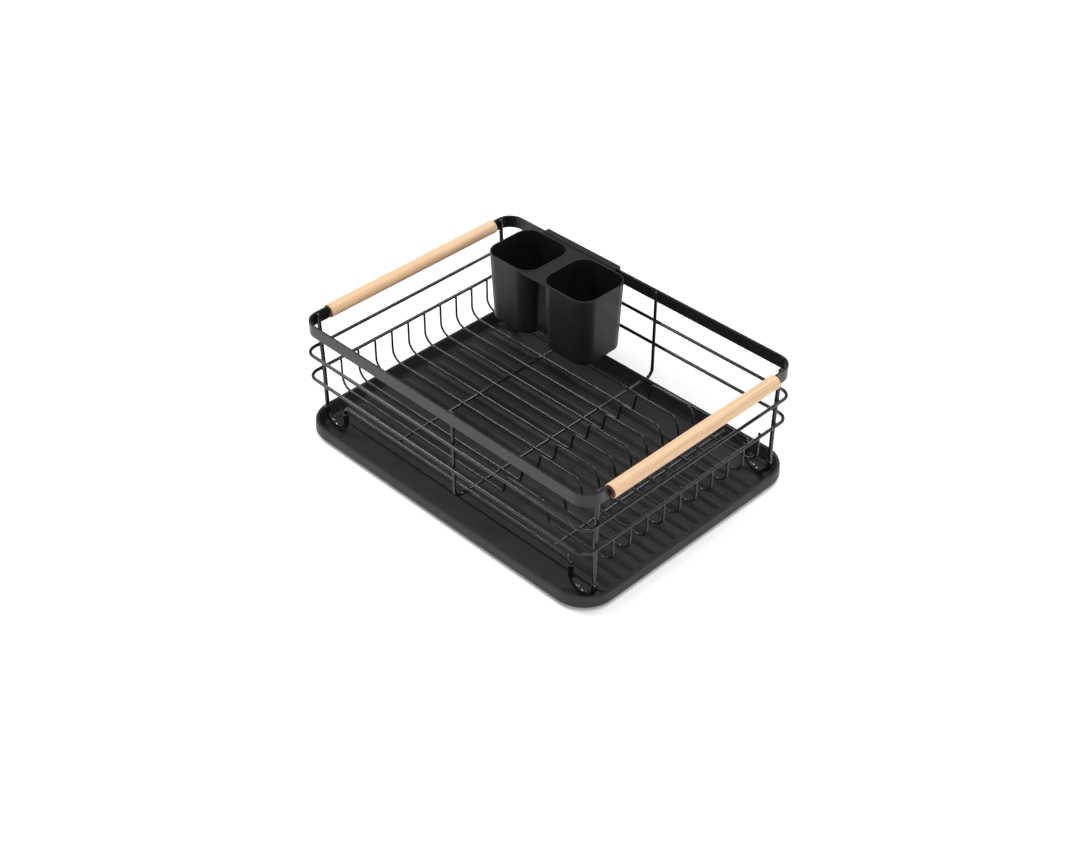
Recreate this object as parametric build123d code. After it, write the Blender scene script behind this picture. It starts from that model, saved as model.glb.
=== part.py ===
"""Dish drying rack: a wire basket with wooden handles standing in a drip tray, with a cutlery caddy.

Units are millimetres. +Z is up, +X runs along the long side to the right, +Y runs to the back, where the
caddy hangs. The origin is on the table, under the middle of the tray.
"""
import os

from build123d import *

# ---------------------------------------------------------------- driving dimensions
# Drip tray
TRAY_LENGTH = 441.0
TRAY_WIDTH = 330.0
TRAY_HEIGHT = 18.0
TRAY_CORNER_RADIUS = 38.0
TRAY_WALL = 2.2
TRAY_FLOOR = 2.5
TRAY_RIM_WIDTH = 4.2
TRAY_WALL_SPREAD_ANGLE = 18.0
TRAY_RIM_INNER_RADIUS = 1.0
TRAY_FLOOR_FILLET = 4.0
SKIRT_BOTTOM = 6.0
SKIRT_DRAFT = 3.0
SKIRT_EDGE_RADIUS = 1.4
FIELD_LENGTH = 420.0
FIELD_WIDTH = 247.0
FIELD_RISE = 1.8
FIELD_CORNER_RADIUS = 12.0
FIELD_EDGE_RADIUS = 1.08
GROOVE_COUNT = 14
GROOVE_PITCH = 17.0
GROOVE_LENGTH = 410.0
GROOVE_WIDTH = 9.6
GROOVE_DEPTH = 2.2
GROOVE_EDGE_RADIUS = 0.6

# Flat steel rim, standing on edge
RIM_LENGTH = 427.2
RIM_WIDTH = 315.4
RIM_TOP = 150.0
RIM_HEIGHT = 15.0
RIM_THICKNESS = 2.5
RIM_CORNER_RADIUS = 20.0
RIM_EDGE_RADIUS = 0.5

# Wooden grips on their steel rods
GRIP_LENGTH = 250.0
GRIP_DIAMETER = 15.8
GRIP_EDGE = 1.0
GRIP_OUTWARD_OFFSET = 0.5
GRIP_BORE_CLEARANCE = 0.05
ROD_DIAMETER = 5.0
ROD_LENGTH = 251.4
LEFT_GRIP_Y = 4.0
RIGHT_GRIP_Y = -1.0

# Wire sizes and levels
LEG_ROD_DIAMETER = 4.8
FRAME_WIRE_DIAMETER = 3.8
PLATE_WIRE_DIAMETER = 2.5
WELD_DEPTH = 0.15
POST_TOP_DROP = 1.5
UPPER_RAIL_HEIGHT = 107.8
LOWER_RAIL_HEIGHT = 76.4
RAIL_CORNER_RADIUS = 13.0
PLATE_WIRE_HEIGHT = 38.6

# Plate wires and their dividers
PLATE_WIRE_COUNT = 10
PLATE_WIRE_PITCH = 25.0
PLATE_WIRE_END_RADIUS = 14.0
PLATE_WIRE_TIP_ABOVE_RAIL = 1.5
DIVIDER_FOOT_LEFT = 52.0
DIVIDER_FOOT_RIGHT = 119.3
DIVIDER_TOP_LEFT = 57.0
DIVIDER_TOP_RIGHT = 114.5
DIVIDER_HEIGHT = 62.1
DIVIDER_FOOT_RADIUS = 4.0
DIVIDER_SHOULDER_RADII = (5.0, 11.0)

# Cross wires, from left to right
LEFT_CROSS_X = -92.5
HOOP_X = 21.0
RIGHT_CROSS_X = 146.0
HOOP_BEND_RADIUS = 10.0

# Leg frames and their feet
LEG_SPREAD_Y = 137.5
POST_X = 206.7
POST_LEAN_START = 80.0
POST_LEAN_RADIUS = 60.0
FOOT_BEND_RADIUS = 16.3
FOOT_TOP_BEND_RADIUS = 7.0
SLEEVE_WALL = 0.85
SLEEVE_GAP = 0.02
SLEEVE_TOP_OUTER = 27.0
SLEEVE_TOP_INNER = 31.5
REST_GAP = 0.1

# Cutlery caddy
CUP_LENGTH = 73.0
CUP_WIDTH = 75.0
CUP_CORNER_RADIUS = 20.0
CUP_HEIGHT = 90.0
CUP_DRAFT = 2.8
CUP_WALL = 1.6
CUP_FLOOR = 2.0
CUP_BOTTOM_FILLET = 4.0
CUP_MOUTH_FILLET = 0.5
CUP_RIM_STANDS_UP = 0.6
CUP_CENTRE_Y = 112.0
CUP_CENTRES_X = (-137.0, -49.0)
CADDY_PLATE = 2.2
HOOK_LENGTH = 113.0
HOOK_CENTRE_X = -95.5
HOOK_BRIDGE = 2.5
HOOK_LIP = 2.3
HOOK_LIP_DROP = 12.0
HOOK_KEEPER_DROP = 7.0
HOOK_SIDE_GAP = 0.4
HOOK_EDGE_RADIUS = 0.8
HOOK_STANDS_UP = 1.0

# A distance too small to see, which tells touching edges from others and keeps two bends apart
TINY = 0.01

# ---------------------------------------------------------------- derived dimensions
LEG_ROD_RADIUS = LEG_ROD_DIAMETER / 2
FRAME_WIRE_RADIUS = FRAME_WIRE_DIAMETER / 2
PLATE_WIRE_RADIUS = PLATE_WIRE_DIAMETER / 2
RIM_BOTTOM = RIM_TOP - RIM_HEIGHT
RIM_MIDDLE = RIM_TOP - RIM_HEIGHT / 2
RIM_INNER_X = RIM_LENGTH / 2 - RIM_THICKNESS
RIM_INNER_Y = RIM_WIDTH / 2 - RIM_THICKNESS
ROD_X = RIM_LENGTH / 2 - RIM_THICKNESS / 2 + GRIP_OUTWARD_OFFSET
POST_TOP = RIM_TOP - POST_TOP_DROP
POST_TOP_X = RIM_INNER_X - LEG_ROD_RADIUS + WELD_DEPTH
HOOP_POST_Y = RIM_INNER_Y - FRAME_WIRE_RADIUS + WELD_DEPTH
RAIL_HALF_WIDTH = HOOP_POST_Y + 2 * FRAME_WIRE_RADIUS - WELD_DEPTH
CROSS_WIRE_HEIGHT = PLATE_WIRE_HEIGHT - PLATE_WIRE_RADIUS - FRAME_WIRE_RADIUS + WELD_DEPTH
LEG_RUN_HEIGHT = CROSS_WIRE_HEIGHT + FRAME_WIRE_RADIUS + LEG_ROD_RADIUS - WELD_DEPTH
SLEEVE_RADIUS = LEG_ROD_RADIUS + SLEEVE_GAP + SLEEVE_WALL
FOOT_BOTTOM = TRAY_FLOOR + REST_GAP + SLEEVE_RADIUS
FOOT_INNER_X = POST_X - 2 * FOOT_BEND_RADIUS
CADDY_TOP = RIM_TOP + REST_GAP + HOOK_BRIDGE
CUP_TOP = CADDY_TOP - HOOK_STANDS_UP


def post_x_at(height):
    """Distance of a corner post from the middle plane: upright below, leaning out to the rim above."""
    rise = max(0.0, height - POST_LEAN_START) / (POST_TOP - POST_LEAN_START)
    return POST_X + rise * (POST_TOP_X - POST_X)


def rail_half_length(height):
    """Half length of a rail that lies against the outside of the corner posts."""
    return post_x_at(height) + LEG_ROD_RADIUS + FRAME_WIRE_RADIUS - WELD_DEPTH


PLATE_WIRE_END_X = rail_half_length(LOWER_RAIL_HEIGHT) - FRAME_WIRE_RADIUS - PLATE_WIRE_RADIUS + WELD_DEPTH


# ---------------------------------------------------------------- helpers
def rounded_block(length, width, radius, bottom, top, taper=0.0):
    """A block with rounded upright corners; a positive taper makes its top smaller than its bottom."""
    outline = Pos(0, 0, bottom) * RectangleRounded(length, width, radius)
    return extrude(outline, amount=top - bottom, taper=taper)


def lowest_edges(solid):
    return solid.edges().group_by(Axis.Z)[0]


def highest_edges(solid):
    return solid.edges().group_by(Axis.Z)[-1]


def round_wire(path, radius):
    """A round wire swept along a path that is made of straight runs and tangent arcs."""
    section = Plane(origin=path @ 0, z_dir=path % 0) * Circle(radius)
    return sweep(section, path=path)


def round_tube(path, inner_radius, outer_radius):
    section = Plane(origin=path @ 0, z_dir=path % 0) * (Circle(outer_radius) - Circle(inner_radius))
    return sweep(section, path=path)


# ---------------------------------------------------------------- drip tray
def is_tray_rim_inner(edge):
    """Whether an edge is part of the inner edge of the tray's rim."""
    middle = edge.position_at(0.5)
    level = abs(middle.Z - TRAY_HEIGHT) < TINY
    inside_x = abs(middle.X) < TRAY_LENGTH / 2 - TRAY_RIM_WIDTH + TINY
    inside_y = abs(middle.Y) < TRAY_WIDTH / 2 - TRAY_RIM_WIDTH + TINY
    return level and inside_x and inside_y


def is_groove_top(edge):
    """Whether an edge is the upper edge of a drainage groove."""
    middle = edge.position_at(0.5)
    level = abs(middle.Z - TRAY_FLOOR - FIELD_RISE) < TINY
    inside_x = abs(middle.X) < GROOVE_LENGTH / 2 + TINY
    inside_y = abs(middle.Y) < (GROOVE_COUNT - 1) * GROOVE_PITCH / 2 + GROOVE_WIDTH / 2 + TINY
    return level and inside_x and inside_y


def groove_cutter():
    """A long, round-ended hollow of circular section, lying along X with its mouth at z = 0."""
    radius = (GROOVE_WIDTH**2 / 4 + GROOVE_DEPTH**2) / (2 * GROOVE_DEPTH)
    straight = GROOVE_LENGTH - GROOVE_WIDTH
    capsule = Rot(0, 90, 0) * Cylinder(radius, straight)
    for end in (-1, 1):
        capsule += Pos(end * straight / 2, 0, 0) * Sphere(radius)
    return Pos(0, 0, radius - GROOVE_DEPTH) * capsule


def drip_tray():
    """A shallow tray with flared walls, a turned-down rim and a raised, grooved field for the water."""
    rim_length = TRAY_LENGTH - 2 * TRAY_RIM_WIDTH
    rim_width = TRAY_WIDTH - 2 * TRAY_RIM_WIDTH
    rim_radius = TRAY_CORNER_RADIUS - TRAY_RIM_WIDTH
    depth = TRAY_HEIGHT - TRAY_FLOOR
    cavity = Pos(0, 0, TRAY_HEIGHT) * Rot(180, 0, 0) * extrude(
        RectangleRounded(rim_length, rim_width, rim_radius), amount=depth, taper=TRAY_WALL_SPREAD_ANGLE
    )
    cavity = fillet(lowest_edges(cavity), TRAY_FLOOR_FILLET)
    pan = Pos(0, 0, TRAY_HEIGHT - TRAY_WALL) * Rot(180, 0, 0) * extrude(
        RectangleRounded(rim_length + 2 * TRAY_WALL, rim_width + 2 * TRAY_WALL, rim_radius + TRAY_WALL),
        amount=TRAY_HEIGHT - TRAY_WALL,
        taper=TRAY_WALL_SPREAD_ANGLE,
    )
    pan = fillet(lowest_edges(pan), TRAY_FLOOR_FILLET)
    skirt = rounded_block(
        TRAY_LENGTH, TRAY_WIDTH, TRAY_CORNER_RADIUS, SKIRT_BOTTOM, TRAY_HEIGHT, SKIRT_DRAFT
    )
    skirt = fillet(highest_edges(skirt), SKIRT_EDGE_RADIUS)
    under_skirt = rounded_block(
        TRAY_LENGTH - 2 * TRAY_WALL,
        TRAY_WIDTH - 2 * TRAY_WALL,
        TRAY_CORNER_RADIUS - TRAY_WALL,
        SKIRT_BOTTOM,
        TRAY_HEIGHT - TRAY_WALL,
        SKIRT_DRAFT,
    )
    tray = skirt - under_skirt + pan - cavity
    tray = fillet(tray.edges().filter_by(is_tray_rim_inner), TRAY_RIM_INNER_RADIUS)
    field = rounded_block(
        FIELD_LENGTH, FIELD_WIDTH, FIELD_CORNER_RADIUS, TRAY_FLOOR / 2, TRAY_FLOOR + FIELD_RISE
    )
    field = fillet(highest_edges(field), FIELD_EDGE_RADIUS)
    tray += field
    for index in range(GROOVE_COUNT):
        y = (index - (GROOVE_COUNT - 1) / 2) * GROOVE_PITCH
        tray -= Pos(0, y, TRAY_FLOOR + FIELD_RISE) * groove_cutter()
    return fillet(tray.edges().filter_by(is_groove_top), GROOVE_EDGE_RADIUS)


# ---------------------------------------------------------------- rim and handles
def rim_strip(side):
    """One half of the rim: a long run with a rounded corner and a short return at each end."""
    outer = RectangleRounded(RIM_LENGTH, RIM_WIDTH, RIM_CORNER_RADIUS)
    inner = RectangleRounded(2 * RIM_INNER_X, 2 * RIM_INNER_Y, RIM_CORNER_RADIUS - RIM_THICKNESS)
    left_gap = Pos(-RIM_LENGTH / 2, LEFT_GRIP_Y) * Rectangle(RIM_LENGTH, ROD_LENGTH)
    right_gap = Pos(RIM_LENGTH / 2, RIGHT_GRIP_Y) * Rectangle(RIM_LENGTH, ROD_LENGTH)
    other_half = Pos(0, -side * RIM_WIDTH) * Rectangle(2 * RIM_LENGTH, 2 * RIM_WIDTH)
    outline = outer - inner - left_gap - right_gap - other_half
    strip = Pos(0, 0, RIM_BOTTOM) * extrude(outline, amount=RIM_HEIGHT)
    return fillet(lowest_edges(strip) + highest_edges(strip), RIM_EDGE_RADIUS)


def handle_place(side):
    """Where the axis of a handle lies: its middle, with its local Z along the rack's Y."""
    middle_y = RIGHT_GRIP_Y if side > 0 else LEFT_GRIP_Y
    return Pos(side * ROD_X, middle_y, RIM_MIDDLE) * Rot(90, 0, 0)


def handle_rod(side):
    """The round rod that joins the front and back halves of the rim inside a wooden grip."""
    return handle_place(side) * Cylinder(ROD_DIAMETER / 2, ROD_LENGTH)


def wooden_grip(side):
    """A bored wooden dowel that turns freely on its rod."""
    dowel = Cylinder(GRIP_DIAMETER / 2, GRIP_LENGTH)
    end_edges = dowel.edges().filter_by(GeomType.CIRCLE)
    dowel = fillet(end_edges, GRIP_EDGE)
    bore = Cylinder(ROD_DIAMETER / 2 + GRIP_BORE_CLEARANCE, 2 * GRIP_LENGTH)
    return handle_place(side) * (dowel - bore)


# ---------------------------------------------------------------- wires
def rail(height):
    """A closed loop of wire round the outside of the posts."""
    outline = RectangleRounded(2 * rail_half_length(height), 2 * RAIL_HALF_WIDTH, RAIL_CORNER_RADIUS)
    path = Pos(0, 0, height) * outline.face().outer_wire()
    return round_wire(path, FRAME_WIRE_RADIUS)


def leg_frame(side):
    """A thick rod: down from the rim, round a U-shaped foot, along the basket and up the other corner."""
    y = side * LEG_SPREAD_Y
    half = [
        (POST_TOP_X, POST_TOP),
        (POST_X, POST_LEAN_START),
        (POST_X, FOOT_BOTTOM),
        (FOOT_INNER_X, FOOT_BOTTOM),
        (FOOT_INNER_X, LEG_RUN_HEIGHT),
    ]
    points = [(-x, y, z) for x, z in half] + [(x, y, z) for x, z in reversed(half)]
    foot_radius = FOOT_BEND_RADIUS - TINY
    bends = [POST_LEAN_RADIUS, foot_radius, foot_radius, FOOT_TOP_BEND_RADIUS]
    path = FilletPolyline(*points, radius=bends + bends[::-1])
    return round_wire(path, LEG_ROD_RADIUS)


def foot_sleeve(side_x, side_y):
    """A soft sleeve over one U-shaped foot."""
    y = side_y * LEG_SPREAD_Y
    points = [
        (side_x * POST_X, y, SLEEVE_TOP_OUTER),
        (side_x * POST_X, y, FOOT_BOTTOM),
        (side_x * FOOT_INNER_X, y, FOOT_BOTTOM),
        (side_x * FOOT_INNER_X, y, SLEEVE_TOP_INNER),
    ]
    path = FilletPolyline(*points, radius=FOOT_BEND_RADIUS - TINY)
    return round_tube(path, LEG_ROD_RADIUS + SLEEVE_GAP, SLEEVE_RADIUS)


def cross_wire(x):
    """A straight wire under the plate wires, from one leg frame to the other."""
    return Pos(x, 0, CROSS_WIRE_HEIGHT) * Rot(90, 0, 0) * Cylinder(FRAME_WIRE_RADIUS, 2 * LEG_SPREAD_Y)


def middle_hoop():
    """A cross wire whose ends turn up and reach the rim."""
    points = [
        (HOOP_X, -HOOP_POST_Y, POST_TOP),
        (HOOP_X, -HOOP_POST_Y, CROSS_WIRE_HEIGHT),
        (HOOP_X, HOOP_POST_Y, CROSS_WIRE_HEIGHT),
        (HOOP_X, HOOP_POST_Y, POST_TOP),
    ]
    return round_wire(FilletPolyline(*points, radius=HOOP_BEND_RADIUS), FRAME_WIRE_RADIUS)


def plate_wire(index):
    """A wire along the basket, with upturned ends and a raised divider that plates lean on."""
    y = (index - (PLATE_WIRE_COUNT - 1) / 2) * PLATE_WIRE_PITCH
    tip = LOWER_RAIL_HEIGHT + PLATE_WIRE_TIP_ABOVE_RAIL
    profile = [
        (-PLATE_WIRE_END_X, tip),
        (-PLATE_WIRE_END_X, PLATE_WIRE_HEIGHT),
        (DIVIDER_FOOT_LEFT, PLATE_WIRE_HEIGHT),
        (DIVIDER_TOP_LEFT, DIVIDER_HEIGHT),
        (DIVIDER_TOP_RIGHT, DIVIDER_HEIGHT),
        (DIVIDER_FOOT_RIGHT, PLATE_WIRE_HEIGHT),
        (PLATE_WIRE_END_X, PLATE_WIRE_HEIGHT),
        (PLATE_WIRE_END_X, tip),
    ]
    divider_bends = [DIVIDER_FOOT_RADIUS, *DIVIDER_SHOULDER_RADII, DIVIDER_FOOT_RADIUS]
    bends = [PLATE_WIRE_END_RADIUS, *divider_bends, PLATE_WIRE_END_RADIUS]
    path = FilletPolyline(*[(x, y, z) for x, z in profile], radius=bends)
    return round_wire(path, PLATE_WIRE_RADIUS)


# ---------------------------------------------------------------- cutlery caddy
def cup_block(inset, height):
    """A tapering block with its mouth at z = 0, its closed end below, and walls set in from the outside."""
    mouth = RectangleRounded(CUP_LENGTH - 2 * inset, CUP_WIDTH - 2 * inset, CUP_CORNER_RADIUS - inset)
    block = Rot(180, 0, 0) * extrude(mouth, amount=height, taper=CUP_DRAFT)
    return fillet(lowest_edges(block), CUP_BOTTOM_FILLET - inset)


def cutlery_caddy():
    """Two cups and a web in one moulding, with a hook over the back rim."""
    cavity = cup_block(CUP_WALL, CUP_HEIGHT - CUP_FLOOR)
    cup = cup_block(0.0, CUP_HEIGHT) - cavity
    cup = fillet(highest_edges(cup), CUP_MOUTH_FILLET)
    cup_back = CUP_CENTRE_Y + CUP_WIDTH / 2
    lip_inner = RIM_WIDTH / 2 + HOOK_SIDE_GAP
    lip_outer = lip_inner + HOOK_LIP
    keeper_outer = RIM_INNER_Y - HOOK_SIDE_GAP
    keeper_inner = keeper_outer - HOOK_LIP
    bridge_under = RIM_TOP + REST_GAP

    def bar(y_from, y_to, z_from, z_to):
        return Pos(HOOK_CENTRE_X, (y_from + y_to) / 2, (z_from + z_to) / 2) * Box(
            HOOK_LENGTH, y_to - y_from, z_to - z_from
        )

    bridge = bar(keeper_inner, lip_outer, bridge_under, CADDY_TOP)
    lip = bar(lip_inner, lip_outer, CADDY_TOP - HOOK_LIP_DROP, CADDY_TOP)
    keeper = bar(keeper_inner, keeper_outer, CADDY_TOP - HOOK_KEEPER_DROP, CADDY_TOP)
    hook = bridge + lip + keeper
    hook = fillet(hook.edges().filter_by(Axis.X).group_by(Axis.Z)[-1], HOOK_EDGE_RADIUS)
    plate_top = CUP_TOP - CUP_RIM_STANDS_UP
    shelf = bar(cup_back - CUP_WALL, keeper_inner, plate_top - CADDY_PLATE, plate_top)
    web_length = CUP_CENTRES_X[1] - CUP_CENTRES_X[0]
    web = Pos(sum(CUP_CENTRES_X) / 2, CUP_CENTRE_Y, plate_top - CADDY_PLATE / 2) * Box(
        web_length, CUP_WIDTH, CADDY_PLATE
    )
    caddy = hook + shelf + web
    for x in CUP_CENTRES_X:
        caddy -= Pos(x, CUP_CENTRE_Y, CUP_TOP) * cavity
    for x in CUP_CENTRES_X:
        caddy += Pos(x, CUP_CENTRE_Y, CUP_TOP) * cup
    return caddy


# ---------------------------------------------------------------- the whole rack
def all_parts():
    sides = {"left": -1, "right": 1}
    depths = {"front": -1, "back": 1}
    parts = {"drip_tray": drip_tray(), "cutlery_caddy": cutlery_caddy(), "middle_hoop": middle_hoop()}
    parts["upper_rail"] = rail(UPPER_RAIL_HEIGHT)
    parts["lower_rail"] = rail(LOWER_RAIL_HEIGHT)
    parts["cross_wire_left"] = cross_wire(LEFT_CROSS_X)
    parts["cross_wire_right"] = cross_wire(RIGHT_CROSS_X)
    for name, side in sides.items():
        parts[f"handle_rod_{name}"] = handle_rod(side)
        parts[f"wooden_grip_{name}"] = wooden_grip(side)
    for depth_name, depth in depths.items():
        parts[f"rim_strip_{depth_name}"] = rim_strip(depth)
        parts[f"leg_frame_{depth_name}"] = leg_frame(depth)
        for side_name, side in sides.items():
            parts[f"foot_sleeve_{depth_name}_{side_name}"] = foot_sleeve(side, depth)
    for index in range(PLATE_WIRE_COUNT):
        parts[f"plate_wire_{index + 1:02d}"] = plate_wire(index)
    return parts


os.makedirs("parts", exist_ok=True)
for node, shape in all_parts().items():
    export_step(shape, f"parts/{node}.step")
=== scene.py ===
"""Looks of the dish drying rack: materials, weld beads, wire ends, wooden grips, light, floor and camera.

Everything is in metres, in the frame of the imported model. +Z is up, +X runs to the right along the long side,
+Y runs to the back, where the caddy hangs. The scale of a noise or cell texture is in cells per metre.
"""
import math
import random

import bmesh
import bpy
from mathutils import Matrix, Vector, noise


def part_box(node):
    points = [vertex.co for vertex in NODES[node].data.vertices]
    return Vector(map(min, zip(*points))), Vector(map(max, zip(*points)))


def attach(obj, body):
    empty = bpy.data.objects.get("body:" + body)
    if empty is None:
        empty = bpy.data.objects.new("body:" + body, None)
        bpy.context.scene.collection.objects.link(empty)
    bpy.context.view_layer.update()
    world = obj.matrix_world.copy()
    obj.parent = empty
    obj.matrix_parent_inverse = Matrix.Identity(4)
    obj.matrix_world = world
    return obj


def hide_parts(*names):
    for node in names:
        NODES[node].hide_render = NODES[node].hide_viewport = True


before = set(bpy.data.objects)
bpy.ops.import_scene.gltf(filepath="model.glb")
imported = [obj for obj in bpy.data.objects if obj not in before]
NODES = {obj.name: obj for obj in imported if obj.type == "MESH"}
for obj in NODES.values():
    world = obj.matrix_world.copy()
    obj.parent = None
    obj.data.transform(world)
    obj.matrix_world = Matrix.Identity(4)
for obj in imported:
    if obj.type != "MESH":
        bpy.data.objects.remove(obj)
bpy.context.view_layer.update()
MM = 0.001
QUARTER_TURN = 0.5 * math.pi


# ---------------------------------------------------------------- material building blocks
class Surface:
    """A material under construction: a Principled shader and the nodes that feed it."""

    def __init__(self, name):
        self.material = bpy.data.materials.new(name)
        self.material.use_nodes = True
        self.tree = self.material.node_tree
        self.shader = self.tree.nodes["Principled BSDF"]
        self.place = self.add("ShaderNodeTexCoord").outputs["Object"]
        self.height = None

    def add(self, kind):
        return self.tree.nodes.new(kind)

    def link(self, source, target):
        self.tree.links.new(source, target)

    def set(self, **values):
        for key, value in values.items():
            self.shader.inputs[key.replace("_", " ")].default_value = value

    def stretched(self, scale):
        """Object coordinates, with each axis multiplied."""
        mapping = self.add("ShaderNodeMapping")
        mapping.inputs["Scale"].default_value = scale
        self.link(self.place, mapping.inputs["Vector"])
        return mapping.outputs["Vector"]

    def noise(self, scale, detail=3.0, roughness=0.55, distortion=0.0, place=None):
        """Soft noise, mostly between 0.3 and 0.7."""
        node = self.add("ShaderNodeTexNoise")
        node.inputs["Scale"].default_value = scale
        node.inputs["Detail"].default_value = detail
        node.inputs["Roughness"].default_value = roughness
        node.inputs["Distortion"].default_value = distortion
        self.link(place or self.place, node.inputs["Vector"])
        return node.outputs["Fac"]

    def cells(self, scale):
        """The distance to the middle of the nearest cell."""
        node = self.add("ShaderNodeTexVoronoi")
        node.inputs["Scale"].default_value = scale
        self.link(self.place, node.inputs["Vector"])
        return node.outputs["Distance"]

    def remap(self, value, low, high, out_low, out_high):
        """Takes low..high to out_low..out_high, and stops at both ends."""
        node = self.add("ShaderNodeMapRange")
        for key, number in zip(("From Min", "From Max", "To Min", "To Max"), (low, high, out_low, out_high)):
            node.inputs[key].default_value = number
        self.link(value, node.inputs["Value"])
        return node.outputs["Result"]

    def maths(self, operation, first, second):
        node = self.add("ShaderNodeMath")
        node.operation = operation
        for socket, value in zip(node.inputs, (first, second)):
            if isinstance(value, (int, float)):
                socket.default_value = value
            else:
                self.link(value, socket)
        return node.outputs["Value"]

    def mix(self, factor, first, second):
        """The first colour where the factor is 0, the second where it is 1."""
        node = self.add("ShaderNodeMix")
        node.data_type = "RGBA"
        for socket, value in zip((node.inputs[0], node.inputs[6], node.inputs[7]), (factor, first, second)):
            if isinstance(value, (int, float)):
                socket.default_value = value
            elif isinstance(value, tuple):
                socket.default_value = (*value, 1.0)
            else:
                self.link(value, socket)
        return node.outputs[2]

    def bump(self, height, strength, distance):
        """Adds a layer of relief on top of the ones before it."""
        node = self.add("ShaderNodeBump")
        node.inputs["Strength"].default_value = strength
        node.inputs["Distance"].default_value = distance
        self.link(height, node.inputs["Height"])
        if self.height is not None:
            self.link(self.height, node.inputs["Normal"])
        self.height = node.outputs["Normal"]
        self.link(self.height, self.shader.inputs["Normal"])

    def colour(self, socket):
        self.link(socket, self.shader.inputs["Base Color"])

    def roughness(self, socket):
        self.link(socket, self.shader.inputs["Roughness"])


def coated_steel(name, dark, light, rough, gloss, dust, relief):
    """Satin black powder coat: orange peel, fine grain, a few rubbed patches and specks of dust."""
    s = Surface(name)
    patches = s.remap(s.noise(38.0, detail=4.0), 0.35, 0.68, 0.0, 1.0)
    base = s.mix(patches, dark, light)
    specks = s.remap(s.noise(2600.0, detail=2.0, roughness=0.6), 0.72, 0.80, 0.0, dust)
    s.colour(s.mix(specks, base, (0.11, 0.11, 0.112)))
    rubbed = s.noise(120.0, detail=5.0, roughness=0.6)
    s.roughness(s.remap(rubbed, 0.3, 0.7, *rough))
    orange_peel = s.noise(300.0, detail=2.0, roughness=0.5)
    s.bump(orange_peel, strength=0.03 * relief, distance=0.20 * MM)
    grain = s.noise(2400.0, detail=2.0, roughness=0.5)
    s.bump(grain, strength=0.01 * relief, distance=0.03 * MM)
    s.set(IOR=1.44, Coat_Weight=gloss, Coat_Roughness=0.14, Coat_IOR=1.5)
    return s.material


def hollow_shade_mask(s, half_x, half_y, floor, top):
    """1 at the floor of the hollows inside a rectangle round the middle, fading to 0 at their top: the mask for
    painted shade in the grooves.
    """
    axes = s.add("ShaderNodeSeparateXYZ")
    s.link(s.place, axes.inputs["Vector"])
    inside_x = s.maths("LESS_THAN", s.maths("ABSOLUTE", axes.outputs["X"], 0.0), half_x)
    inside_y = s.maths("LESS_THAN", s.maths("ABSOLUTE", axes.outputs["Y"], 0.0), half_y)
    deep = s.remap(axes.outputs["Z"], floor, top, 1.0, 0.0)
    return s.maths("MULTIPLY", deep, s.maths("MULTIPLY", inside_x, inside_y))


def moulded_plastic(name, dark, light, rough, grain_scale, grain_strength, hollows=None):
    """Charcoal moulded plastic with an eroded tool grain, faint flow bands and fine scuffs; where hollows are
    given, painted shade darkens their floors.
    """
    s = Surface(name)
    clouds = s.remap(s.noise(14.0, detail=4.0, roughness=0.6), 0.3, 0.7, 0.0, 1.0)
    base = s.mix(clouds, dark, light)
    flow = s.noise(9.0, detail=3.0, roughness=0.5, distortion=0.8, place=s.stretched((1.0, 5.0, 1.0)))
    base = s.mix(s.remap(flow, 0.5, 0.75, 0.0, 0.35), base, tuple(1.35 * c for c in light))
    scuff_lines = s.noise(160.0, detail=4.0, roughness=0.65, place=s.stretched((1.0, 0.06, 1.0)))
    scuffs = s.maths(
        "MULTIPLY",
        s.remap(scuff_lines, 0.66, 0.74, 0.0, 1.0),
        s.remap(s.noise(20.0, detail=2.0), 0.5, 0.65, 0.0, 1.0),
    )
    base = s.mix(s.maths("MULTIPLY", scuffs, 0.25), base, (0.09, 0.09, 0.092))
    polish = s.noise(55.0, detail=5.0, roughness=0.6)
    sheen = s.maths("ADD", s.remap(polish, 0.3, 0.7, *rough), s.maths("MULTIPLY", scuffs, 0.08))
    if hollows is not None:
        # Painted shade: the floors of the hollows are darkened towards near-black, fading out towards their
        # top, and made rougher.
        deep = hollow_shade_mask(s, **hollows)
        base = s.mix(s.maths("MULTIPLY", deep, 0.80), base, (0.001, 0.001, 0.001))
        sheen = s.maths("ADD", sheen, s.maths("MULTIPLY", deep, 0.22))
    s.colour(base)
    s.roughness(sheen)
    s.bump(s.cells(grain_scale), strength=grain_strength, distance=0.10 * MM)
    fine_grain = s.noise(grain_scale * 2.3, detail=3.0, roughness=0.65)
    s.bump(fine_grain, strength=grain_strength * 0.6, distance=0.05 * MM)
    s.set(IOR=1.43)
    return s.material


def dipped_rubber(name):
    """Glossy black vinyl, as dipped sleeves have: slow ripples and a little dust."""
    s = Surface(name)
    dust = s.remap(s.noise(1500.0, detail=3.0, roughness=0.6), 0.66, 0.76, 0.0, 0.25)
    s.colour(s.mix(dust, (0.006, 0.006, 0.0065), (0.07, 0.07, 0.072)))
    s.roughness(s.remap(s.noise(200.0, detail=3.0), 0.3, 0.7, 0.10, 0.24))
    s.bump(s.noise(260.0, detail=2.0), strength=0.25, distance=0.3 * MM)
    s.set(IOR=1.53, Coat_Weight=0.6, Coat_Roughness=0.06, Coat_IOR=1.5)
    return s.material


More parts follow.
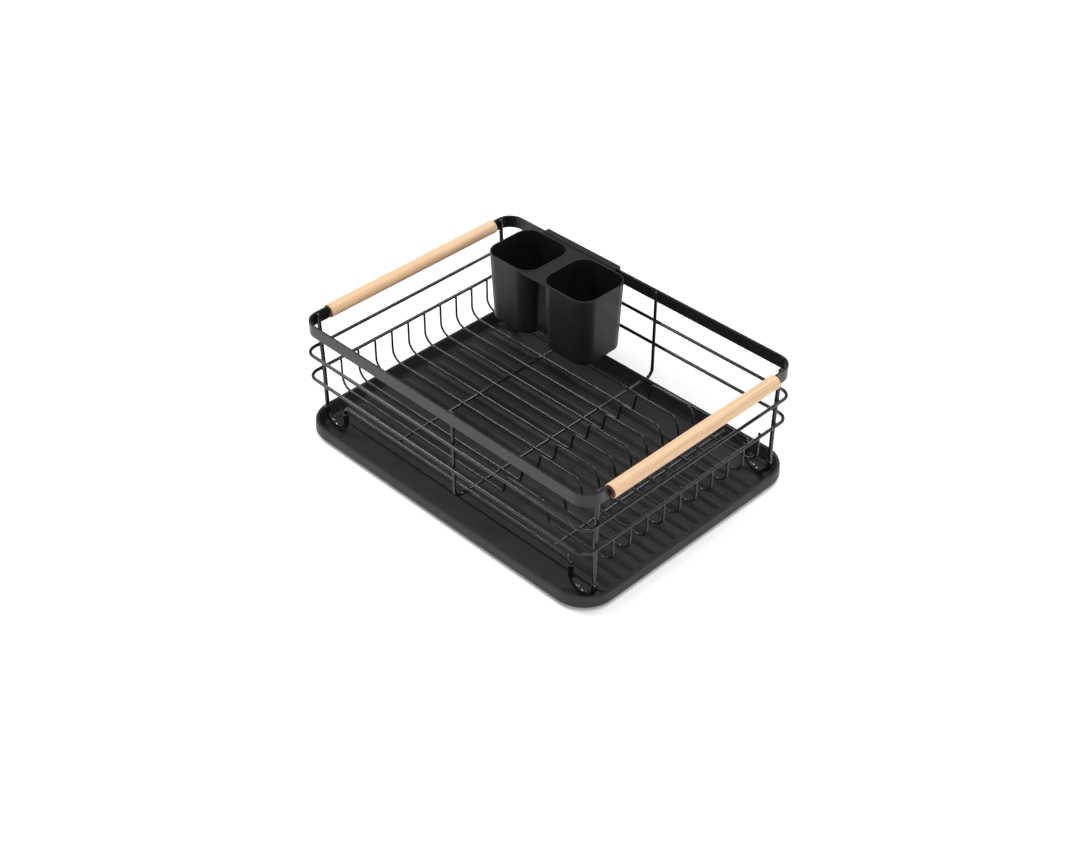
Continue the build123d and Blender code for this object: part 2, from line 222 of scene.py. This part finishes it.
def beech(name):
    """Pale beech, lightly lacquered: growth bands, fine pores, ray flecks and a dark end grain, made darker
    than its own tone with painted shade.
    """
    s = Surface(name)
    slow = s.stretched((1.0, 0.10, 1.0))
    warp = s.noise(42.0, detail=3.0, roughness=0.55, distortion=0.4, place=slow)
    bands = s.add("ShaderNodeTexWave")
    bands.bands_direction = "X"
    bands.inputs["Scale"].default_value = 88.0
    bands.inputs["Distortion"].default_value = 9.0
    bands.inputs["Detail"].default_value = 3.0
    bands.inputs["Detail Scale"].default_value = 1.4
    s.link(slow, bands.inputs["Vector"])
    rings = s.maths("MULTIPLY", bands.outputs["Fac"], warp)
    pale, warm, deep = (0.745, 0.513, 0.312), (0.640, 0.402, 0.218), (0.280, 0.140, 0.062)
    base = s.mix(s.remap(rings, 0.12, 0.62, 0.0, 1.0), pale, warm)
    broad = s.noise(7.0, detail=2.0, roughness=0.5, place=s.stretched((1.0, 0.5, 1.0)))
    base = s.mix(s.remap(broad, 0.35, 0.7, 0.0, 0.5), base, (0.760, 0.500, 0.270))
    fibres = s.noise(1900.0, detail=3.0, roughness=0.6, place=s.stretched((1.0, 0.03, 1.0)))
    base = s.mix(s.remap(fibres, 0.50, 0.8, 0.0, 0.60), base, warm)
    flecks = s.noise(1250.0, detail=1.0, roughness=0.5, place=s.stretched((1.0, 0.16, 1.0)))
    base = s.mix(s.remap(flecks, 0.67, 0.75, 0.0, 0.60), base, deep)
    # End faces are painted dark brown: partly the darker tone of end grain, partly painted shade.
    facing = s.add("ShaderNodeSeparateXYZ")
    s.link(s.add("ShaderNodeTexCoord").outputs["Normal"], facing.inputs["Vector"])
    end = s.remap(s.maths("ABSOLUTE", facing.outputs["Y"], 0.0), 0.55, 0.9, 0.0, 1.0)
    pores = s.remap(s.cells(2300.0), 0.25, 0.6, 0.0, 1.0)
    end_grain_shade_colour = s.mix(pores, (0.070, 0.030, 0.014), (0.150, 0.068, 0.032))
    s.colour(s.mix(end, base, end_grain_shade_colour))
    s.roughness(s.remap(fibres, 0.3, 0.7, 0.40, 0.56))
    s.bump(fibres, strength=0.22, distance=0.08 * MM)
    s.bump(flecks, strength=0.15, distance=0.06 * MM)
    s.set(IOR=1.48, Coat_Weight=0.12, Coat_Roughness=0.3)
    return s.material


def pale_paper(name):
    """The studio floor, which glows more away from the object, where the lamps reach it less."""
    s = Surface(name)
    s.colour(s.mix(s.noise(3.0, detail=2.0), (0.90, 0.90, 0.90), (0.93, 0.93, 0.93)))
    s.roughness(s.remap(s.noise(40.0, detail=3.0), 0.3, 0.7, 0.75, 0.9))
    s.set(Emission_Color=(1.0, 1.0, 1.0, 1.0))
    reach = s.add("ShaderNodeVectorMath")
    reach.operation = "LENGTH"
    s.link(s.place, reach.inputs[0])
    glow = s.remap(reach.outputs["Value"], 0.8, 2.8, 0.19, 0.66)
    s.link(glow, s.shader.inputs["Emission Strength"])
    return s.material


wire_coat = coated_steel(
    "wire_coat", dark=(0.0035, 0.0035, 0.0037), light=(0.0060, 0.0060, 0.0063),
    rough=(0.22, 0.24), gloss=0.2, dust=0.02, relief=0.15,
)
strip_coat = coated_steel(
    "strip_coat", dark=(0.0070, 0.0068, 0.0073), light=(0.0112, 0.0109, 0.0116),
    rough=(0.24, 0.34), gloss=0.0, dust=0.35, relief=1.5,
)
bead_coat = coated_steel(
    "bead_coat", dark=(0.0060, 0.0060, 0.0063), light=(0.0110, 0.0110, 0.0113),
    rough=(0.24, 0.42), gloss=0.2, dust=0.20, relief=1.0,
)
# The tray plastic has painted shade darkening the floors of its grooves.
tray_plastic = moulded_plastic(
    "tray_plastic_grain", dark=(0.0090, 0.0090, 0.0094), light=(0.0135, 0.0135, 0.0139),
    rough=(0.46, 0.58), grain_scale=1100.0, grain_strength=0.34,
    hollows={"half_x": 205.5 * MM, "half_y": 116.5 * MM, "floor": 2.6 * MM, "top": 4.2 * MM},
)
caddy_plastic = moulded_plastic(
    "caddy_plastic_grain", dark=(0.0046, 0.0046, 0.0048), light=(0.0072, 0.0072, 0.0075),
    rough=(0.38, 0.50), grain_scale=1300.0, grain_strength=0.28,
)
sleeve_rubber = dipped_rubber("sleeve_vinyl")
grip_wood = beech("grip_beech")

LOOKS = {
    "drip_tray": tray_plastic,
    "cutlery_caddy": caddy_plastic,
    "foot_sleeve": sleeve_rubber,
    "rim_strip": strip_coat,
}
for node_name, node in NODES.items():
    look = next((m for start, m in LOOKS.items() if node_name.startswith(start)), wire_coat)
    node.data.materials.clear()
    node.data.materials.append(look)


# ---------------------------------------------------------------- mesh building blocks
def piece(name, mesh_code, material, body):
    """A new object whose mesh is written by mesh_code into a bmesh."""
    shape = bmesh.new()
    mesh_code(shape)
    bmesh.ops.recalc_face_normals(shape, faces=shape.faces)
    mesh = bpy.data.meshes.new(name)
    shape.to_mesh(mesh)
    shape.free()
    mesh.shade_smooth()
    mesh.materials.append(material)
    obj = bpy.data.objects.new(name, mesh)
    bpy.context.scene.collection.objects.link(obj)
    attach(obj, body)
    return obj


def blob(shape, centre, half_sizes, seed):
    """A small closed lump with an uneven skin, such as the bead that a spot weld leaves."""
    made = bmesh.ops.create_icosphere(shape, subdivisions=3, radius=1.0)
    drift = Vector((7.1 * seed, 3.7 * seed, 1.9 * seed))
    for vert in made["verts"]:
        uneven = 1.0 + 0.10 * noise.noise(vert.co * 1.6 + drift) + 0.03 * noise.noise(vert.co * 5.0 + drift)
        vert.co = centre + Vector(c * h * uneven for c, h in zip(vert.co, half_sizes))


def ring_of_points(shape, place, radius, along, segments):
    """New vertices round the local Z of a placement."""
    ring = []
    for k in range(segments):
        angle = 2 * math.pi * k / segments
        point = Vector((radius * math.cos(angle), radius * math.sin(angle), along))
        ring.append(shape.verts.new(place @ point))
    return ring


def join_rings(shape, first, second):
    """Four-sided faces between two rings that have the same number of vertices."""
    for k in range(len(first)):
        following = (k + 1) % len(first)
        shape.faces.new((first[k], first[following], second[following], second[k]))


def lathe(shape, profile, place, segments):
    """Turns a closed profile of (distance along the axis, radius) points round the local Z of a placement."""
    rings = [ring_of_points(shape, place, radius, along, segments) for along, radius in profile]
    for first, second in zip(rings, rings[1:] + rings[:1]):
        join_rings(shape, first, second)


CAP_SEGMENTS = 24
CAP_RINGS = 7


def dome(shape, place, wire_radius, wider, height, skirt):
    """A rounded cap for the cut end of a wire, with a short skirt of coating down its side.

    Its radius and its height are given as parts of the wire's radius, and its skirt in metres.
    """
    radius, rise = wire_radius * wider, wire_radius * height
    rows = [ring_of_points(shape, place, radius, -skirt, CAP_SEGMENTS)]
    for ring in range(CAP_RINGS):
        lift = QUARTER_TURN * ring / CAP_RINGS
        rows.append(
            ring_of_points(shape, place, radius * math.cos(lift), rise * math.sin(lift), CAP_SEGMENTS)
        )
    top = shape.verts.new(place @ Vector((0.0, 0.0, rise)))
    for first, second in zip(rows, rows[1:]):
        join_rings(shape, first, second)
    for k in range(CAP_SEGMENTS):
        shape.faces.new((rows[-1][k], rows[-1][(k + 1) % CAP_SEGMENTS], top))
    shape.faces.new(list(reversed(rows[0])))


def ends_of(node_name):
    """The lowest and the highest corner of a CAD node's box."""
    low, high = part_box(node_name)
    return Vector(low), Vector(high)


def middle_of(node_name):
    """The middle of a CAD node's box."""
    low, high = ends_of(node_name)
    return (low + high) / 2


# ---------------------------------------------------------------- levels and sizes read from the frame
plate_names = sorted(name for name in NODES if name.startswith("plate_wire"))
cross_names = ["cross_wire_left", "middle_hoop", "cross_wire_right"]
rail_levels = {name: middle_of(name).z for name in ("upper_rail", "lower_rail")}
rail_low, rail_high = ends_of("upper_rail")
frame_radius = (rail_high.z - rail_low.z) / 2
leg_low, leg_high = ends_of("leg_frame_front")
leg_radius = (leg_high.y - leg_low.y) / 2
leg_y = abs(leg_low.y + leg_high.y) / 2
plate_low, plate_high = ends_of(plate_names[0])
plate_radius = (plate_high.y - plate_low.y) / 2
cross_level = middle_of("cross_wire_left").z


# ---------------------------------------------------------------- wooden grips
GRIP_SEGMENTS = 96
GRIP_STEPS = 60
GRIP_EDGE = 1.3 * MM
GRIP_EDGE_STEPS = 6
GRIP_WAVE = 0.035 * MM
GRIP_WAVES_PER_METRE = 31.0
GRIP_WAVE_SEEDS = {"left": 4.0, "right": 9.0}
BORE_CLEARANCE = 0.06 * MM
BORE_CHAMFER = 0.5 * MM


def wooden_grip(side_name):
    """A bored dowel with rounded ends, as slightly uneven along its length as sanded wood is."""
    node_name = f"wooden_grip_{side_name}"
    low, high = ends_of(node_name)
    radius = (high.z - low.z) / 2
    half = (high.y - low.y) / 2
    rod_low, rod_high = ends_of(f"handle_rod_{side_name}")
    bore = (rod_high.z - rod_low.z) / 2 + BORE_CLEARANCE
    turns = [QUARTER_TURN * step / GRIP_EDGE_STEPS for step in range(GRIP_EDGE_STEPS + 1)]
    ends = [
        (half - GRIP_EDGE * (1 - math.sin(turn)), radius - GRIP_EDGE * (1 - math.cos(turn))) for turn in turns
    ]
    reach = half - GRIP_EDGE
    outside = []
    for step in range(1, GRIP_STEPS):
        along = -reach + 2 * reach * step / GRIP_STEPS
        wave = noise.noise(Vector((along * GRIP_WAVES_PER_METRE, GRIP_WAVE_SEEDS[side_name], 0.0)))
        outside.append((along, radius + GRIP_WAVE * wave))
    profile = [(-along, r) for along, r in reversed(ends)] + outside + ends
    bore_end = half - BORE_CHAMFER
    mouth = bore + BORE_CHAMFER
    profile += [(half, mouth), (bore_end, bore), (-bore_end, bore), (-half, mouth)]
    place = Matrix.Translation((low + high) / 2) @ Matrix.Rotation(-QUARTER_TURN, 4, "X")

    def turned_dowel(shape):
        lathe(shape, profile, place, GRIP_SEGMENTS)

    grip = piece(f"beech_grip_{side_name}", turned_dowel, grip_wood, f"{side_name}_grip")
    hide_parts(node_name)


for side in ("left", "right"):
    wooden_grip(side)


# ---------------------------------------------------------------- spot welds and wire ends
PLATE_ON_CROSS_BEAD = (1.9 * MM, 1.9 * MM, 0.75 * MM)
PLATE_ON_RAIL_BEAD = (0.75 * MM, 1.7 * MM, 1.7 * MM)
CROSS_ON_LEG_BEAD = (2.4 * MM, 2.2 * MM, 0.9 * MM)
POST_ON_RAIL_BEAD = (0.9 * MM, 2.3 * MM, 2.2 * MM)
HOOP_ON_RAIL_BEAD = (2.1 * MM, 0.8 * MM, 2.1 * MM)
BEAD_SIZE_SPREAD = 0.12
BEAD_DICE_SEED = 11
BEAD_SEED_RANGE = 9.0


def weld_beads(shape):
    """A bead at each place where two wires are welded together."""
    dice = random.Random(BEAD_DICE_SEED)

    def bead(x, y, z, half_sizes):
        jitter = [1.0 + dice.uniform(-BEAD_SIZE_SPREAD, BEAD_SIZE_SPREAD) for _ in half_sizes]
        sizes = [h * j for h, j in zip(half_sizes, jitter)]
        blob(shape, Vector((x, y, z)), sizes, dice.uniform(0.0, BEAD_SEED_RANGE))

    for plate_name in plate_names:
        y = middle_of(plate_name).y
        for cross_name in cross_names:
            bead(middle_of(cross_name).x, y, plate_low.z, PLATE_ON_CROSS_BEAD)
    wire_end_x = ends_of("lower_rail")[1].x - 2 * frame_radius
    for plate_name in plate_names:
        y = middle_of(plate_name).y
        for side_x in (-1, 1):
            bead(side_x * wire_end_x, y, rail_levels["lower_rail"], PLATE_ON_RAIL_BEAD)
    for side_y in (-1, 1):
        for cross_name in ("cross_wire_left", "cross_wire_right", "middle_hoop"):
            bead(middle_of(cross_name).x, side_y * leg_y, cross_level + frame_radius, CROSS_ON_LEG_BEAD)
    hoop_x = middle_of("middle_hoop").x
    hoop_y = ends_of("middle_hoop")[1].y
    for rail_name, level in rail_levels.items():
        post_x = ends_of(rail_name)[1].x - 2 * frame_radius
        for side_x in (-1, 1):
            for side_y in (-1, 1):
                bead(side_x * post_x, side_y * leg_y, level, POST_ON_RAIL_BEAD)
        for side_y in (-1, 1):
            bead(hoop_x, side_y * hoop_y, level, HOOP_ON_RAIL_BEAD)


PLATE_CAP = {"wider": 1.02, "height": 0.7, "skirt": 0.5 * MM}
CROSS_CAP = {"wider": 1.01, "height": 0.5, "skirt": 0.5 * MM}
POST_CAP = {"wider": 1.02, "height": 0.6, "skirt": 0.6 * MM}
TIP_DEPTH = 0.4 * MM


def wire_tips(node_name):
    """The middles of the two upright cut ends of a bent wire."""
    top = ends_of(node_name)[1].z
    highest = [v.co.copy() for v in NODES[node_name].data.vertices if v.co.z > top - TIP_DEPTH]
    middle = sum(highest, Vector()) / len(highest)
    spread = max(highest, key=lambda point: (point - middle).length) - middle
    one = [point for point in highest if (point - middle).dot(spread) > 0]
    other = [point for point in highest if (point - middle).dot(spread) < 0]
    return [sum(group, Vector()) / len(group) for group in (one, other)]


def wire_caps(shape):
    """Rounded ends on the plate wires, the cross wires, the corner posts and the middle hoop."""
    for plate_name in plate_names:
        low, high = ends_of(plate_name)
        for x in (low.x + plate_radius, high.x - plate_radius):
            place = Matrix.Translation(Vector((x, (low.y + high.y) / 2, high.z)))
            dome(shape, place, plate_radius, **PLATE_CAP)
    for cross_name in ("cross_wire_left", "cross_wire_right"):
        low, high = ends_of(cross_name)
        for side_y, y in ((1, low.y), (-1, high.y)):
            place = Matrix.Translation(Vector(((low.x + high.x) / 2, y, cross_level)))
            place = place @ Matrix.Rotation(side_y * QUARTER_TURN, 4, "X")
            dome(shape, place, frame_radius, **CROSS_CAP)
    for node_name in ("leg_frame_front", "leg_frame_back", "middle_hoop"):
        radius = leg_radius if node_name.startswith("leg") else frame_radius
        for tip in wire_tips(node_name):
            dome(shape, Matrix.Translation(tip), radius, **POST_CAP)


LIP_ROUND_STEPS = 14
LIP_SEGMENTS = 40
LIP_HALF_HEIGHT = 0.55 * MM
LIP_HALF_WIDTH = 0.52 * MM
LIP_INSET = 0.42 * MM
LIP_DROP = 0.2 * MM
LEG_REACH = 1.01


def sleeve_lips(shape):
    """The thickened, rolled mouths of the foot sleeves."""
    for node_name, node in NODES.items():
        if not node_name.startswith("foot_sleeve"):
            continue
        low, high = ends_of(node_name)
        outer = (high.y - low.y) / 2
        profile = []
        for step in range(LIP_ROUND_STEPS):
            turn = 2 * math.pi * step / LIP_ROUND_STEPS
            across = outer - LIP_INSET + LIP_HALF_WIDTH * math.cos(turn)
            profile.append((LIP_HALF_HEIGHT * math.sin(turn), across))
        inner_x, outer_x = sorted((low.x + outer, high.x - outer), key=abs)
        outer_leg = [v.co.z for v in node.data.vertices if abs(v.co.x - outer_x) < LEG_REACH * outer]
        for x, top in ((inner_x, high.z), (outer_x, max(outer_leg))):
            mouth = Matrix.Translation(Vector((x, (low.y + high.y) / 2, top - LIP_DROP)))
            lathe(shape, profile, mouth, LIP_SEGMENTS)


piece("weld_beads", weld_beads, bead_coat, "basket")
piece("wire_end_caps", wire_caps, wire_coat, "basket")
piece("sleeve_lips", sleeve_lips, sleeve_rubber, "basket")


# ---------------------------------------------------------------- floor, light and camera
FLOOR_HALF_SIZE = 6.0
FLOOR_CELLS = 12

floor_shape = bmesh.new()
bmesh.ops.create_grid(floor_shape, x_segments=FLOOR_CELLS, y_segments=FLOOR_CELLS, size=FLOOR_HALF_SIZE)
floor_mesh = bpy.data.meshes.new("studio_floor")
floor_shape.to_mesh(floor_mesh)
floor_shape.free()
floor_mesh.materials.append(pale_paper("studio_paper"))
floor = bpy.data.objects.new("studio_floor", floor_mesh)
bpy.context.scene.collection.objects.link(floor)


def soft_light(name, place, target, size, power):
    """A round lamp that faces a target; its size is in metres and its power in watts."""
    lamp = bpy.data.lights.new(name, "AREA")
    lamp.shape = "DISK"
    lamp.size = size
    lamp.energy = power
    obj = bpy.data.objects.new(name, lamp)
    obj.location = place
    obj.rotation_euler = (Vector(target) - Vector(place)).to_track_quat("-Z", "Y").to_euler()
    bpy.context.scene.collection.objects.link(obj)


soft_light("key", place=(-1.32, -0.65, 1.7), target=(0.0, 0.0, 0.05), size=0.7, power=22.5)
soft_light("top", place=(0.9, -0.6, 2.3), target=(0.0, 0.0, 0.0), size=1.4, power=25.5)
soft_light("back", place=(0.2, 1.35, 1.9), target=(0.0, 0.1, 0.0), size=0.7, power=18.0)

# The backdrop is bright at the horizon and dimmer overhead. Heights are sines of the angle above the horizon.
HORIZON_TOP, DOME_START = 0.08, 0.34
HORIZON_STRENGTH, DOME_STRENGTH = 0.96, 0.36

world = bpy.data.worlds.new("studio")
world.use_nodes = True
nodes, links = world.node_tree.nodes, world.node_tree.links
backdrop = nodes["Background"]
backdrop.inputs["Color"].default_value = (1.0, 1.0, 1.0, 1.0)
axes = nodes.new("ShaderNodeSeparateXYZ")
links.new(nodes.new("ShaderNodeTexCoord").outputs["Generated"], axes.inputs["Vector"])
fade = nodes.new("ShaderNodeMapRange")
fade.inputs["From Min"].default_value = HORIZON_TOP
fade.inputs["From Max"].default_value = DOME_START
fade.inputs["To Min"].default_value = HORIZON_STRENGTH
fade.inputs["To Max"].default_value = DOME_STRENGTH
links.new(axes.outputs["Z"], fade.inputs["Value"])
links.new(fade.outputs["Result"], backdrop.inputs["Strength"])
bpy.context.scene.world = world
bpy.context.scene.view_settings.view_transform = "Standard"

CAMERA_PLACE = (1.06588, -1.08011, 1.22167)
CAMERA_DOWN_DEGREES = 38.065
CAMERA_TURN_DEGREES = 45.104
LENS_MM = 59.19
SENSOR_MM = 36.0

lens = bpy.data.cameras.new("camera")
lens.lens = LENS_MM
lens.sensor_width = SENSOR_MM
camera = bpy.data.objects.new("camera", lens)
camera.location = CAMERA_PLACE
camera.rotation_euler = (math.radians(90 - CAMERA_DOWN_DEGREES), 0.0, math.radians(CAMERA_TURN_DEGREES))
bpy.context.scene.collection.objects.link(camera)
bpy.context.scene.camera = camera
